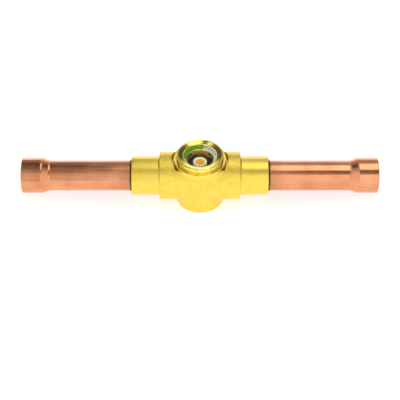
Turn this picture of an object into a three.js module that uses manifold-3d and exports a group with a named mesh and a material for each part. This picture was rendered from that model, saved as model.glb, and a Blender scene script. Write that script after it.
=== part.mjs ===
// Liquid-line sight glass for refrigeration pipework: a forged brass body with two brazed copper
// connecting tubes, a screwed window holder with a fused glass, and a moisture indicator inside.
// Millimetres, +Z up. The origin is the centre of the flat base. The flow line runs along X, and
// the window faces +Z.
import * as THREE from 'three';
import { mergeVertices } from 'three/addons/utils/BufferGeometryUtils.js';
import Module from 'manifold-3d';

const wasm = await Module();
wasm.setup();

// ---- Driving dimensions ----------------------------------------------------------------------

// Connecting tubes: half-inch copper with swaged solder sockets.
const TUBE_RADIUS = 6.35;
const TUBE_WALL = 1.0;
const OVERALL_LENGTH = 149.8;
const BELL_LENGTH = 8.4;
const BELL_NECK = 3.2;
const BELL_CLEARANCE = 0.07;
const BELL_LEAD = 0.2;

// Forged body.
const FLOW_AXIS_Z = 12.5;
const BARREL_RADIUS = 10.15;
const BLOCK_RADIUS = 10.05;
const BLOCK_HALF_LENGTH = 17.0;
const HUB_RADIUS = 8.15;
const HUB_END_X = 28.7;
const HUB_BLEND = 0.8;
const EDGE_CHAMFER = 0.5;
const SEAT_Z = 20.45;
const SPOTFACE_RADIUS = 11.7;
const CHAMBER_RADIUS = 7.9;
const CHAMBER_FLOOR_Z = 5.0;
const PORT_RADIUS = 4.0;
const TUBE_STOP_X = 18.0;
const TUBE_START_X = 18.3;
const BRAZE_GAP = 0.1;
const BRAZE_LEG = 0.8;
const BRAZE_HOLLOW = 0.72;

// Screw thread between the body and the window holder.
const THREAD_PITCH = 1.0;
const THREAD_CREST_RADIUS = 8.5;
const THREAD_ROOT_RADIUS = 7.95;
const THREAD_CREST_HALF_WIDTH = 0.0625;
const THREAD_WIDEST_HALF = 0.485;
const THREAD_FLANK_SLOPE = Math.tan(Math.PI / 6);
const THREAD_PLAY = 0.12;
const THREAD_CREST_PLAY = 0.072;
const THREAD_EMBED = 0.15;
const THREAD_TURNS = 3;
const THREAD_RUN_OUT_TURNS = 0.25;
const THREAD_RUN_OUT_LEAST = 0.08;
const THREAD_RELIEF_TURNS = 2.5;

// Window holder, measured from the seat face.
const HOLDER_NECK_BOTTOM = -3.8;
const NECK_CHAMFER = 0.25;
const THREAD_START = -3.35;
const FLANGE_BOTTOM = 0.4;
const FLANGE_TOP = 1.65;
const FLANGE_RADIUS = 11.0;
const FLANGE_CHAMFER = 0.15;
const COLLAR_RADIUS = 9.8;
const RIM_ROUNDING = 0.6;
const RIM_TOP = 3.95;
const LIP_RADIUS = 7.2;
const LIP_TOP = 3.3;
const LIP_CHAMFER = 0.1;
const CONE_TOP = 3.2;
const CONE_BOTTOM_RADIUS = 5.85;
const CONE_BOTTOM = 1.2;
const SLEEVE_BORE_RADIUS = 6.7;
const SLEEVE_SHOULDER = 0.05;
const CIRCLIP_GROOVE_RADIUS = 7.15;
const CIRCLIP_GROOVE_BOTTOM = -2.35;
const CIRCLIP_GROOVE_TOP = -1.65;

// Glass, its sleeve and the seals.
const GLASS_RADIUS = 5.45;
const GLASS_THICKNESS = 1.6;
const GLASS_TOP = 1.35;
const SLEEVE_TOP = 1.4;
const SLEEVE_INNER_RADIUS = 5.5;
const SLEEVE_SPIGOT_RADIUS = 5.78;
const SLEEVE_FLANGE_RADIUS = 6.62;
const SLEEVE_BOTTOM = -1.6;
const SLEEVE_FLANGE_TOP = -0.35;
const CIRCLIP_INNER_RADIUS = 6.03;
const CIRCLIP_START_TURN = 0.3;
const CIRCLIP_TURNS = 0.9;
const SEAL_INNER_RADIUS = 8.8;
const SEAL_OUTER_RADIUS = 9.9;

// Label: a conical carrier with a coloured segment for each state of the refrigerant.
const LABEL_THICKNESS = 0.16;
const LABEL_INSET = 0.12;
const SEGMENT_THICKNESS = 0.06;
const SEGMENT_INSET = 0.2;
const LABEL_LIFT = 0.03;
const DRY_SEGMENT_ARC = [82, 190];
const WET_SEGMENT_ARC = [202, 330];

// Indicator, measured from the chamber floor.
const POST_RADIUS = 1.2;
const POST_FOOT_RADIUS = 3.4;
const POST_FOOT_HEIGHT = 0.8;
const POST_PILOT_RADIUS = 1.5;
const POST_PILOT_DEPTH = 1.0;
const POST_TIP_IN_CUP = 0.7;
const SEAT_WASHER_BOTTOM = 0.82;
const SEAT_WASHER_TOP = 1.22;
const SEAT_WASHER_INNER_RADIUS = 1.3;
const SEAT_WASHER_OUTER_RADIUS = 2.75;
const CUP_BELOW_GLASS = 0.12;
const CUP_TOP = SEAT_Z + GLASS_TOP - GLASS_THICKNESS - CUP_BELOW_GLASS - CHAMBER_FLOOR_Z;
const CUP_RADIUS = 2.92;
const CUP_HEIGHT = 2.6;
const CUP_SOCKET_DEPTH = 0.85;
const CUP_RECESS_RADIUS = 2.42;
const CUP_RECESS_DEPTH = 1.0;
const PAPER_RADIUS = 2.36;
const PAPER_THICKNESS = 0.25;
const PAPER_WINDOW_RADIUS = 1.9;
const RETAINER_BELOW_BRIM = 0.08;
const SPRING_RADIUS = 1.85;
const SPRING_WIRE_RADIUS = 0.2;
const SPRING_TURNS = 7;
const SMALL_EDGE = 0.2;

// Fineness of the round shapes, and the gaps between parts.
const ROUND_SIDES = 36;
const SMALL_SIDES = 24;
const SPRING_SIDES = 12;
const GAP = 0.05;
const FINE_GAP = 0.03;

// ---- Geometry helpers ------------------------------------------------------------------------

/** A closed geometry with shared corners, no zero-area triangles and its faces pointing out. */
function closed(geometry) {
  geometry.deleteAttribute('normal');
  geometry.deleteAttribute('uv');
  const merged = mergeVertices(geometry, 1e-4);
  const corners = merged.index.array;
  const place = merged.attributes.position;
  const kept = [];
  let volume = 0;
  const a = new THREE.Vector3();
  const b = new THREE.Vector3();
  const c = new THREE.Vector3();
  for (let i = 0; i < corners.length; i += 3) {
    const [p, q, r] = corners.slice(i, i + 3);
    if (p === q || q === r || r === p) continue;
    kept.push(p, q, r);
    a.fromBufferAttribute(place, p);
    b.fromBufferAttribute(place, q);
    c.fromBufferAttribute(place, r);
    volume += a.dot(b.cross(c));
  }
  merged.setIndex(volume < 0 ? kept.reverse() : kept);
  return merged;
}

/** A solid of revolution about Z from [radius, height] points. */
function turned(points, sides = ROUND_SIDES) {
  const outline = points.map(([radius, height]) => new THREE.Vector2(radius, height));
  const startsOnAxis = points[0][0] === 0;
  if (!startsOnAxis) outline.push(outline[0].clone());
  return closed(new THREE.LatheGeometry(outline, sides).rotateX(Math.PI / 2));
}

/** The same, about X: [radius, distance along X] points. */
function turnedAlongX(points, sides = ROUND_SIDES) {
  return turned(points, sides).rotateY(Math.PI / 2);
}

/**
 * A section of [radius, height] points carried round Z from a start angle through a number of
 * turns, climbing by the pitch in each turn. fade(t) scales the section's reach at turn t.
 */
function carriedRound(section, { startTurn, turns, pitch = 0, sides = ROUND_SIDES, fade = null }) {
  const shape = new THREE.Shape(section.map(([radius, height]) => new THREE.Vector2(radius, height)));
  const steps = Math.max(2, Math.round(turns * sides));
  const geometry = new THREE.ExtrudeGeometry(shape, { depth: turns, steps, bevelEnabled: false });
  const place = geometry.attributes.position;
  const inner = Math.min(...section.map(([radius]) => radius));
  for (let i = 0; i < place.count; i += 1) {
    const turn = place.getZ(i);
    const reach = fade ? fade(turn) : 1;
    const radius = inner + (place.getX(i) - inner) * reach;
    const angle = 2 * Math.PI * (startTurn + turn);
    const height = place.getY(i) + pitch * turn;
    place.setXYZ(i, radius * Math.cos(angle), radius * Math.sin(angle), height);
  }
  return closed(geometry);
}

/** A manifold solid for joining and cutting. */
function toSolid(geometry) {
  return new wasm.Manifold(new wasm.Mesh({
    numProp: 3,
    vertProperties: new Float32Array(geometry.attributes.position.array),
    triVerts: new Uint32Array(geometry.index.array),
  }));
}

/** A geometry from a manifold solid. */
function toGeometry(solid) {
  const { vertProperties, triVerts } = solid.getMesh();
  const geometry = new THREE.BufferGeometry();
  geometry.setAttribute('position', new THREE.BufferAttribute(vertProperties, 3));
  geometry.setIndex(new THREE.BufferAttribute(triVerts, 1));
  return geometry;
}

/** The first geometry joined with the others. */
function joined(first, ...others) {
  return toGeometry(others.reduce((solid, other) => solid.add(toSolid(other)), toSolid(first)));
}

/** The first geometry with the others cut away. */
function cut(first, ...others) {
  return toGeometry(others.reduce((solid, other) => solid.subtract(toSolid(other)), toSolid(first)));
}

/** Points of a round edge in a profile, from one angle to another in degrees. */
function roundEdge(centreRadius, centreHeight, edgeRadius, fromDegrees, toDegrees, count = 4) {
  return Array.from({ length: count + 1 }, (_, i) => {
    const angle = THREE.MathUtils.degToRad(fromDegrees + (toDegrees - fromDegrees) * (i / count));
    return [centreRadius + edgeRadius * Math.cos(angle), centreHeight + edgeRadius * Math.sin(angle)];
  });
}

/** A named mesh with its own material. */
function part(name, geometry, color, roughness, metalness, extra = {}) {
  const material = new THREE.MeshStandardMaterial({ color, roughness, metalness, ...extra });
  const mesh = new THREE.Mesh(geometry, material);
  mesh.name = name;
  return mesh;
}

// ---- Screw thread ----------------------------------------------------------------------------

/** The thread's helical ridge, grown on every side by play, between two heights. */
function threadRidge(play, firstHeight, turns, fade) {
  const crest = THREAD_CREST_RADIUS + play;
  const foot = THREAD_ROOT_RADIUS - THREAD_EMBED;
  const crestHalf = THREAD_CREST_HALF_WIDTH + (play > 0 ? THREAD_CREST_PLAY : 0);
  const footHalf = Math.min(crestHalf + (crest - foot) * THREAD_FLANK_SLOPE, THREAD_WIDEST_HALF);
  const section = [
    [foot, firstHeight - footHalf],
    [crest, firstHeight - crestHalf],
    [crest, firstHeight + crestHalf],
    [foot, firstHeight + footHalf],
  ];
  return carriedRound(section, { startTurn: 0, turns, pitch: THREAD_PITCH, fade });
}

/** Male threads run out over their first and last quarter turn. */
function threadRunOut(turn) {
  const fromEnd = Math.min(turn, THREAD_TURNS - turn);
  return THREE.MathUtils.clamp(fromEnd / THREAD_RUN_OUT_TURNS, THREAD_RUN_OUT_LEAST, 1);
}

// ---- Forged body -----------------------------------------------------------------------------

function barrelForging() {
  return turned([
    [0, 0],
    [BARREL_RADIUS - EDGE_CHAMFER, 0],
    [BARREL_RADIUS, EDGE_CHAMFER],
    [BARREL_RADIUS, SEAT_Z],
    [0, SEAT_Z],
  ]);
}

/** The block and both hubs, turned about the flow line. */
function flowLineForging() {
  const halfProfile = [
    [BLOCK_RADIUS, 0],
    [BLOCK_RADIUS, BLOCK_HALF_LENGTH - EDGE_CHAMFER],
    [BLOCK_RADIUS - EDGE_CHAMFER, BLOCK_HALF_LENGTH],
    [HUB_RADIUS + HUB_BLEND / 2, BLOCK_HALF_LENGTH],
    [HUB_RADIUS, BLOCK_HALF_LENGTH + HUB_BLEND],
    [HUB_RADIUS, HUB_END_X - EDGE_CHAMFER],
    [HUB_RADIUS - EDGE_CHAMFER, HUB_END_X],
    [0, HUB_END_X],
  ];
  const mirrored = halfProfile.slice(1).reverse().map(([radius, x]) => [radius, -x]);
  return turnedAlongX([...mirrored, ...halfProfile]).translate(0, 0, FLOW_AXIS_Z);
}

/** The flow passage: a tube socket and a port through each side of the chamber wall. */
function flowPassage() {
  const pastEnd = HUB_END_X + 1;
  const socketRadius = TUBE_RADIUS + BRAZE_GAP;
  return turnedAlongX([
    [0, -pastEnd],
    [socketRadius, -pastEnd],
    [socketRadius, -TUBE_STOP_X],
    [PORT_RADIUS, -TUBE_STOP_X],
    [PORT_RADIUS, TUBE_STOP_X],
    [socketRadius, TUBE_STOP_X],
    [socketRadius, pastEnd],
    [0, pastEnd],
  ]).translate(0, 0, FLOW_AXIS_Z);
}

/** The chamber with its floor hole, and the plain bore that the thread is cut into. */
function chamberBore() {
  const threadBore = THREAD_ROOT_RADIUS + THREAD_PLAY;
  const wellBottom = SEAT_Z + HOLDER_NECK_BOTTOM - THREAD_PITCH;
  const mouthRadius = THREAD_CREST_RADIUS + 2 * THREAD_PLAY;
  const pilotEnd = CHAMBER_FLOOR_Z - POST_PILOT_DEPTH - SMALL_EDGE;
  const above = SEAT_Z + 1;
  return turned([
    [0, pilotEnd],
    [POST_PILOT_RADIUS + GAP, pilotEnd],
    [POST_PILOT_RADIUS + GAP, CHAMBER_FLOOR_Z],
    [CHAMBER_RADIUS, CHAMBER_FLOOR_Z],
    [CHAMBER_RADIUS, wellBottom],
    [threadBore, wellBottom],
    [threadBore, SEAT_Z + threadBore - mouthRadius],
    [mouthRadius, SEAT_Z],
    [mouthRadius, above],
    [0, above],
  ]);
}

function spotface() {
  const top = SEAT_Z + 5;
  return turned([
    [0, SEAT_Z],
    [SPOTFACE_RADIUS, SEAT_Z],
    [SPOTFACE_RADIUS, top],
    [0, top],
  ]);
}

function valveBody() {
  const blank = joined(flowLineForging(), barrelForging());
  const grooveStart = SEAT_Z + THREAD_START - THREAD_PITCH;
  const groove = threadRidge(THREAD_PLAY, grooveStart, THREAD_TURNS + THREAD_RELIEF_TURNS, null);
  const geometry = cut(blank, spotface(), chamberBore(), flowPassage(), groove);
  return part('valve_body', geometry, 0xd9ab45, 0.38, 1.0);
}

// ---- Copper tubes ----------------------------------------------------------------------------

/** A connecting tube along +X with a swaged bell at its far end. */
function connectingTube(name) {
  const end = OVERALL_LENGTH / 2;
  const bellStart = end - BELL_LENGTH;
  const neckStart = bellStart - BELL_NECK;
  const bore = TUBE_RADIUS - TUBE_WALL;
  const bellBore = TUBE_RADIUS + BELL_CLEARANCE;
  const bellRadius = bellBore + TUBE_WALL;
  const geometry = turnedAlongX([
    [bore, TUBE_START_X],
    [TUBE_RADIUS, TUBE_START_X],
    [TUBE_RADIUS, neckStart],
    [bellRadius, bellStart],
    [bellRadius, end - BELL_LEAD],
    [bellRadius - BELL_LEAD, end],
    [bellBore + BELL_LEAD, end],
    [bellBore, end - BELL_LEAD],
    [bellBore, bellStart],
    [bore, neckStart],
  ]);
  return part(name, geometry, 0xc9835c, 0.3, 1.0);
}

/** The concave braze fillet in the corner between tube and hub. */
function brazeFillet(name) {
  const inner = TUBE_RADIUS + FINE_GAP;
  const face = HUB_END_X + FINE_GAP;
  const hollow = roundEdge(inner + BRAZE_LEG, face + BRAZE_LEG, BRAZE_HOLLOW, 180, 270, 3);
  const geometry = turnedAlongX([
    [inner, face],
    [inner, face + BRAZE_LEG],
    ...hollow,
    [inner + BRAZE_LEG, face],
  ]);
  return part(name, geometry, 0xb98a4a, 0.45, 1.0);
}

function tubeSide(side, turn) {
  const group = new THREE.Group();
  group.position.z = FLOW_AXIS_Z;
  group.rotation.z = turn;
  group.add(connectingTube(`${side}_tube`), brazeFillet(`${side}_braze_fillet`));
  return group;
}

// ---- Window ----------------------------------------------------------------------------------

function holderBlank() {
  const crownRadius = COLLAR_RADIUS - RIM_ROUNDING;
  return turned([
    [SLEEVE_BORE_RADIUS, HOLDER_NECK_BOTTOM],
    [THREAD_ROOT_RADIUS - NECK_CHAMFER, HOLDER_NECK_BOTTOM],
    [THREAD_ROOT_RADIUS, HOLDER_NECK_BOTTOM + NECK_CHAMFER],
    [THREAD_ROOT_RADIUS, FLANGE_BOTTOM],
    [FLANGE_RADIUS - FLANGE_CHAMFER, FLANGE_BOTTOM],
    [FLANGE_RADIUS, FLANGE_BOTTOM + FLANGE_CHAMFER],
    [FLANGE_RADIUS, FLANGE_TOP - FLANGE_CHAMFER],
    [FLANGE_RADIUS - FLANGE_CHAMFER, FLANGE_TOP],
    [COLLAR_RADIUS + FLANGE_CHAMFER, FLANGE_TOP],
    [COLLAR_RADIUS, FLANGE_TOP + FLANGE_CHAMFER],
    ...roundEdge(crownRadius, RIM_TOP - RIM_ROUNDING, RIM_ROUNDING, 0, 90, 5),
    [LIP_RADIUS + LIP_CHAMFER, LIP_TOP],
    [LIP_RADIUS, CONE_TOP],
    [CONE_BOTTOM_RADIUS, CONE_BOTTOM],
    [CONE_BOTTOM_RADIUS, SLEEVE_SHOULDER],
    [SLEEVE_BORE_RADIUS, SLEEVE_SHOULDER],
    [SLEEVE_BORE_RADIUS, CIRCLIP_GROOVE_TOP],
    [CIRCLIP_GROOVE_RADIUS, CIRCLIP_GROOVE_TOP],
    [CIRCLIP_GROOVE_RADIUS, CIRCLIP_GROOVE_BOTTOM],
    [SLEEVE_BORE_RADIUS, CIRCLIP_GROOVE_BOTTOM],
  ]);
}

function windowHolder() {
  const ridge = threadRidge(0, THREAD_START, THREAD_TURNS, threadRunOut);
  return part('window_holder', joined(holderBlank(), ridge), 0xe3bd52, 0.18, 1.0);
}

/** A flat ring of rectangular section. */
function ringGeometry(inner, outer, bottom, top, sides) {
  return turned([[inner, bottom], [outer, bottom], [outer, top], [inner, top]], sides);
}

function flatRing(name, inner, outer, bottom, top, color, roughness, metalness) {
  return part(name, ringGeometry(inner, outer, bottom, top, ROUND_SIDES), color, roughness, metalness);
}

function glassSleeve() {
  const geometry = turned([
    [SLEEVE_INNER_RADIUS, SLEEVE_BOTTOM],
    [SLEEVE_FLANGE_RADIUS, SLEEVE_BOTTOM],
    [SLEEVE_FLANGE_RADIUS, SLEEVE_FLANGE_TOP],
    [SLEEVE_SPIGOT_RADIUS, SLEEVE_FLANGE_TOP],
    [SLEEVE_SPIGOT_RADIUS, SLEEVE_TOP - LIP_CHAMFER],
    [SLEEVE_SPIGOT_RADIUS - LIP_CHAMFER, SLEEVE_TOP],
    [SLEEVE_INNER_RADIUS, SLEEVE_TOP],
  ]);
  return part('glass_sleeve', geometry, 0xd8b65a, 0.25, 1.0);
}

function glassWindow() {
  const bottom = GLASS_TOP - GLASS_THICKNESS;
  const geometry = turned([
    [0, bottom],
    [GLASS_RADIUS, bottom],
    [GLASS_RADIUS, GLASS_TOP - LIP_CHAMFER],
    [GLASS_RADIUS - LIP_CHAMFER, GLASS_TOP],
    [0, GLASS_TOP],
  ]);
  return part('glass_window', geometry, 0xf2f7f5, 0.03, 0.0, { transparent: true, opacity: 0.3 });
}

/** The soft ring between the sleeve's flange and the holder's shoulder. */
function sleeveGasket() {
  const inner = SLEEVE_SPIGOT_RADIUS + LIP_CHAMFER;
  const bottom = SLEEVE_FLANGE_TOP + FINE_GAP;
  const top = SLEEVE_SHOULDER - FINE_GAP;
  return flatRing('sleeve_gasket', inner, SLEEVE_FLANGE_RADIUS, bottom, top, 0x2b2c2b, 0.8, 0);
}

/** A split ring, open over the plier gap. */
function sleeveCirclip() {
  const section = [
    [CIRCLIP_INNER_RADIUS, CIRCLIP_GROOVE_BOTTOM + GAP],
    [CIRCLIP_GROOVE_RADIUS - GAP, CIRCLIP_GROOVE_BOTTOM + GAP],
    [CIRCLIP_GROOVE_RADIUS - GAP, CIRCLIP_GROOVE_TOP - GAP],
    [CIRCLIP_INNER_RADIUS, CIRCLIP_GROOVE_TOP - GAP],
  ];
  const geometry = carriedRound(section, { startTurn: CIRCLIP_START_TURN, turns: CIRCLIP_TURNS });
  return part('sleeve_circlip', geometry, 0x8e8f92, 0.35, 1.0);
}

/** A band on the label cone between two depths above its surface, as a radial section. */
function labelSection(lift, thickness, inset) {
  const foot = new THREE.Vector2(CONE_BOTTOM_RADIUS, CONE_BOTTOM);
  const brow = new THREE.Vector2(LIP_RADIUS, CONE_TOP);
  const slope = brow.clone().sub(foot).normalize();
  const normal = new THREE.Vector2(-slope.y, slope.x);
  const low = foot.addScaledVector(slope, inset);
  const high = brow.addScaledVector(slope, -inset);
  return [
    low.clone().addScaledVector(normal, lift),
    high.clone().addScaledVector(normal, lift),
    high.clone().addScaledVector(normal, lift + thickness),
    low.clone().addScaledVector(normal, lift + thickness),
  ].map((point) => [point.x, point.y]);
}

function labelCarrier() {
  const geometry = turned(labelSection(LABEL_LIFT, LABEL_THICKNESS, LABEL_INSET));
  return part('label_carrier', geometry, 0xe6efe2, 0.5, 0.0);
}

function labelSegment(name, [fromDegrees, toDegrees], color) {
  const section = labelSection(2 * LABEL_LIFT + LABEL_THICKNESS, SEGMENT_THICKNESS, SEGMENT_INSET);
  const startTurn = fromDegrees / 360;
  const turns = (toDegrees - fromDegrees) / 360;
  const geometry = carriedRound(section, { startTurn, turns });
  return part(name, geometry, color, 0.45, 0.0);
}

function windowAssembly() {
  const group = new THREE.Group();
  group.position.z = SEAT_Z;
  const sealBottom = GAP;
  const sealTop = FLANGE_BOTTOM - GAP;
  group.add(
    flatRing('holder_seal', SEAL_INNER_RADIUS, SEAL_OUTER_RADIUS, sealBottom, sealTop, 0xe9e6da, 0.6, 0),
    windowHolder(),
    glassSleeve(),
    glassWindow(),
    sleeveGasket(),
    sleeveCirclip(),
    labelCarrier(),
    labelSegment('label_dry_segment', DRY_SEGMENT_ARC, 0x6fa52a),
    labelSegment('label_wet_segment', WET_SEGMENT_ARC, 0xe5c52e),
  );
  return group;
}

// ---- Moisture indicator ----------------------------------------------------------------------

function indicatorPost() {
  const tip = CUP_TOP - CUP_HEIGHT + POST_TIP_IN_CUP;
  const geometry = turned([
    [0, -POST_PILOT_DEPTH],
    [POST_PILOT_RADIUS, -POST_PILOT_DEPTH],
    [POST_PILOT_RADIUS, GAP],
    [POST_FOOT_RADIUS, GAP],
    [POST_FOOT_RADIUS, POST_FOOT_HEIGHT - SMALL_EDGE],
    [POST_FOOT_RADIUS - SMALL_EDGE, POST_FOOT_HEIGHT],
    [POST_RADIUS, POST_FOOT_HEIGHT],
    [POST_RADIUS, tip - SMALL_EDGE],
    [POST_RADIUS - SMALL_EDGE, tip],
    [0, tip],
  ], SMALL_SIDES);
  return part('indicator_post', geometry, 0xc79a45, 0.3, 1.0);
}

function springSeatWasher() {
  const inner = SEAT_WASHER_INNER_RADIUS;
  const outer = SEAT_WASHER_OUTER_RADIUS;
  const geometry = ringGeometry(inner, outer, SEAT_WASHER_BOTTOM, SEAT_WASHER_TOP, SMALL_SIDES);
  return part('spring_seat_washer', geometry, 0xb9bcc0, 0.3, 1.0);
}

function indicatorSpring() {
  const firstHeight = SEAT_WASHER_TOP + SPRING_WIRE_RADIUS + GAP;
  const lastHeight = CUP_TOP - CUP_HEIGHT - SPRING_WIRE_RADIUS - GAP;
  const section = roundEdge(SPRING_RADIUS, firstHeight, SPRING_WIRE_RADIUS, 0, 300, 5);
  const pitch = (lastHeight - firstHeight) / SPRING_TURNS;
  const coil = { startTurn: 0, turns: SPRING_TURNS, pitch, sides: SPRING_SIDES };
  const geometry = carriedRound(section, coil);
  return part('indicator_spring', geometry, 0xb4b7bb, 0.25, 1.0);
}

function indicatorCup() {
  const bottom = CUP_TOP - CUP_HEIGHT;
  const recess = CUP_TOP - CUP_RECESS_DEPTH;
  const postHole = POST_RADIUS + GAP;
  const geometry = turned([
    [0, bottom + CUP_SOCKET_DEPTH],
    [postHole, bottom + CUP_SOCKET_DEPTH],
    [postHole, bottom],
    [CUP_RADIUS - SMALL_EDGE, bottom],
    [CUP_RADIUS, bottom + SMALL_EDGE],
    ...roundEdge(CUP_RADIUS - SMALL_EDGE, CUP_TOP - SMALL_EDGE, SMALL_EDGE, 0, 90, 3),
    [CUP_RECESS_RADIUS, CUP_TOP],
    [CUP_RECESS_RADIUS, recess],
    [0, recess],
  ], SMALL_SIDES);
  return part('indicator_cup', geometry, 0xf2ecd6, 0.5, 0.0);
}

function indicatorPaper() {
  const bottom = CUP_TOP - CUP_RECESS_DEPTH + FINE_GAP;
  const top = bottom + PAPER_THICKNESS;
  const geometry = turned([
    [0, bottom],
    [PAPER_RADIUS, bottom],
    [PAPER_RADIUS, top],
    [0, top],
  ], SMALL_SIDES);
  return part('indicator_paper', geometry, 0xf09a1c, 0.85, 0.0);
}

function paperRetainer() {
  const bottom = CUP_TOP - CUP_RECESS_DEPTH + PAPER_THICKNESS + 2 * FINE_GAP;
  const top = CUP_TOP - RETAINER_BELOW_BRIM;
  const geometry = turned([
    [PAPER_WINDOW_RADIUS, bottom],
    [PAPER_RADIUS, bottom],
    [PAPER_RADIUS, top],
    [PAPER_WINDOW_RADIUS + SMALL_EDGE, top],
    [PAPER_WINDOW_RADIUS, top - SMALL_EDGE],
  ], SMALL_SIDES);
  return part('paper_retainer', geometry, 0xefe8cf, 0.5, 0.0);
}

function indicatorAssembly() {
  const group = new THREE.Group();
  group.position.z = CHAMBER_FLOOR_Z;
  group.add(
    indicatorPost(),
    springSeatWasher(),
    indicatorSpring(),
    indicatorCup(),
    indicatorPaper(),
    paperRetainer(),
  );
  return group;
}

// ---- Assembly --------------------------------------------------------------------------------

const sightGlass = new THREE.Group();
sightGlass.name = 'sight_glass';
sightGlass.add(
  valveBody(),
  tubeSide('right', 0),
  tubeSide('left', Math.PI),
  windowAssembly(),
  indicatorAssembly(),
);

export default sightGlass;
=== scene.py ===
"""Looks of the sight glass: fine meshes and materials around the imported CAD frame."""

import math

import bmesh
import bpy
import numpy as np
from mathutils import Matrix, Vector


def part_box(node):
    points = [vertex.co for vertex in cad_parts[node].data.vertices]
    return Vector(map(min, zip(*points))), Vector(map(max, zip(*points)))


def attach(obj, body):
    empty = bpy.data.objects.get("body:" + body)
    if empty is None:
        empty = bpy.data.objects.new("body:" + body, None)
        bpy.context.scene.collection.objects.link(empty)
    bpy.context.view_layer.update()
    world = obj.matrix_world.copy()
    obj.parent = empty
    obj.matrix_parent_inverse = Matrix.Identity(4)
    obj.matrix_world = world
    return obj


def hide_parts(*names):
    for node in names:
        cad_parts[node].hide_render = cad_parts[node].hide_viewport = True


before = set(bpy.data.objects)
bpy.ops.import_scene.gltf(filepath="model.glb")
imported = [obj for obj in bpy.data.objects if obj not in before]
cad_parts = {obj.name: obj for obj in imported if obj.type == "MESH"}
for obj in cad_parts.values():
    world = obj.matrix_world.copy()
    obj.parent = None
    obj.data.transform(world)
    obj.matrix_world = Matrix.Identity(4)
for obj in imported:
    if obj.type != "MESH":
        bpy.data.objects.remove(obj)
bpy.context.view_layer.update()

MM = 0.001


# ---- Sizes, in millimetres ------------------------------------------------------------------


def box_mm(node):
    """Lowest and highest corners of a CAD node, in millimetres."""
    low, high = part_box(node)
    return low / MM, high / MM


BODY_LOW, BODY_HIGH = box_mm("valve_body")
TUBE_LOW, TUBE_HIGH = box_mm("right_tube")
HOLDER_LOW, HOLDER_HIGH = box_mm("window_holder")
SEAL_LOW, SEAL_HIGH = box_mm("holder_seal")
SLEEVE_LOW, SLEEVE_HIGH = box_mm("glass_sleeve")
GLASS_LOW, GLASS_HIGH = box_mm("glass_window")
GASKET_LOW, GASKET_HIGH = box_mm("sleeve_gasket")
CIRCLIP_LOW, CIRCLIP_HIGH = box_mm("sleeve_circlip")
POST_LOW, POST_HIGH = box_mm("indicator_post")
WASHER_LOW, WASHER_HIGH = box_mm("spring_seat_washer")
SPRING_LOW, SPRING_HIGH = box_mm("indicator_spring")
CUP_LOW, CUP_HIGH = box_mm("indicator_cup")
PAPER_LOW, PAPER_HIGH = box_mm("indicator_paper")
RETAINER_LOW, RETAINER_HIGH = box_mm("paper_retainer")
FILLET_LOW, FILLET_HIGH = box_mm("right_braze_fillet")

AXIS_Z = (TUBE_LOW.z + TUBE_HIGH.z) / 2
HUB_END = BODY_HIGH.x
BLOCK_RADIUS = BODY_HIGH.z - AXIS_Z
BARREL_RADIUS = BODY_HIGH.y
BLOCK_HALF_LENGTH = 17.0
HUB_RADIUS = 8.15
SEAT_Z = SEAL_LOW.z - 0.05
SPOTFACE_RADIUS = HOLDER_HIGH.x + 0.7
TUBE_RADIUS = 6.35
TUBE_WALL = 1.0
TUBE_STOP = TUBE_LOW.x - 0.3
BELL_RADIUS = (TUBE_HIGH.z - TUBE_LOW.z) / 2
BELL_LENGTH = 8.4
BELL_NECK = 3.2
SOCKET_RADIUS = TUBE_RADIUS + 0.1
PORT_RADIUS = 4.0
CHAMBER_RADIUS = 7.9
PILOT_DEPTH = 1.0
CHAMBER_FLOOR = POST_LOW.z + PILOT_DEPTH
PILOT_RADIUS = 1.56
FORGED_END = BLOCK_HALF_LENGTH + 0.35
FORGED_EDGE = 0.4
HUB_EDGE = 0.3
BARREL_EDGE = 0.7
MACHINED_EDGE = 0.1
BARREL_BLEND = 2.6
HUB_BLEND = 0.6
BORE_BLEND = 0.25

THREAD_PITCH = 1.0
THREAD_CREST = 8.5
THREAD_ROOT = 7.95
THREAD_PLAY = 0.12
THREAD_FIRST = HOLDER_LOW.z + 0.45
THREAD_TURNS = 3.0
THREAD_WELL = SEAT_Z - 3.85

RIM_TOP = HOLDER_HIGH.z
RIM_ROUNDING = 0.6
COLLAR_RADIUS = 9.8
CROWN_RADIUS = COLLAR_RADIUS - RIM_ROUNDING
FLANGE_TOP = SEAT_Z + 1.65
LIP_RADIUS = 7.2
LIP_TOP = SEAT_Z + 3.3
CONE_TOP = LIP_TOP - 0.1
CONE_FOOT_RADIUS = 5.85
CONE_FOOT = SEAT_Z + 1.2
SLEEVE_BORE = 6.7
SLEEVE_INNER_RADIUS = 5.5
SPIGOT_RADIUS = 5.78
CIRCLIP_INNER_RADIUS = 6.03
SEAL_INNER_RADIUS = 8.8
GASKET_INNER_RADIUS = 5.9

# Where the label's coloured sectors start and end, in degrees from +X towards +Y.
GREEN_SECTOR = (78, 190)
YELLOW_SECTOR = (202, 330)

POST_RADIUS = 1.2
CUP_RECESS_RADIUS = 2.42
CUP_SOCKET_DEPTH = 0.85
RETAINER_INNER_RADIUS = 1.9
WASHER_INNER_RADIUS = 1.3

GAP = 0.05
FINE_GAP = 0.03
ROUND_STEPS = 144
SMALL_STEPS = 96


# ---- Mesh helpers ---------------------------------------------------------------------------


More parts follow.
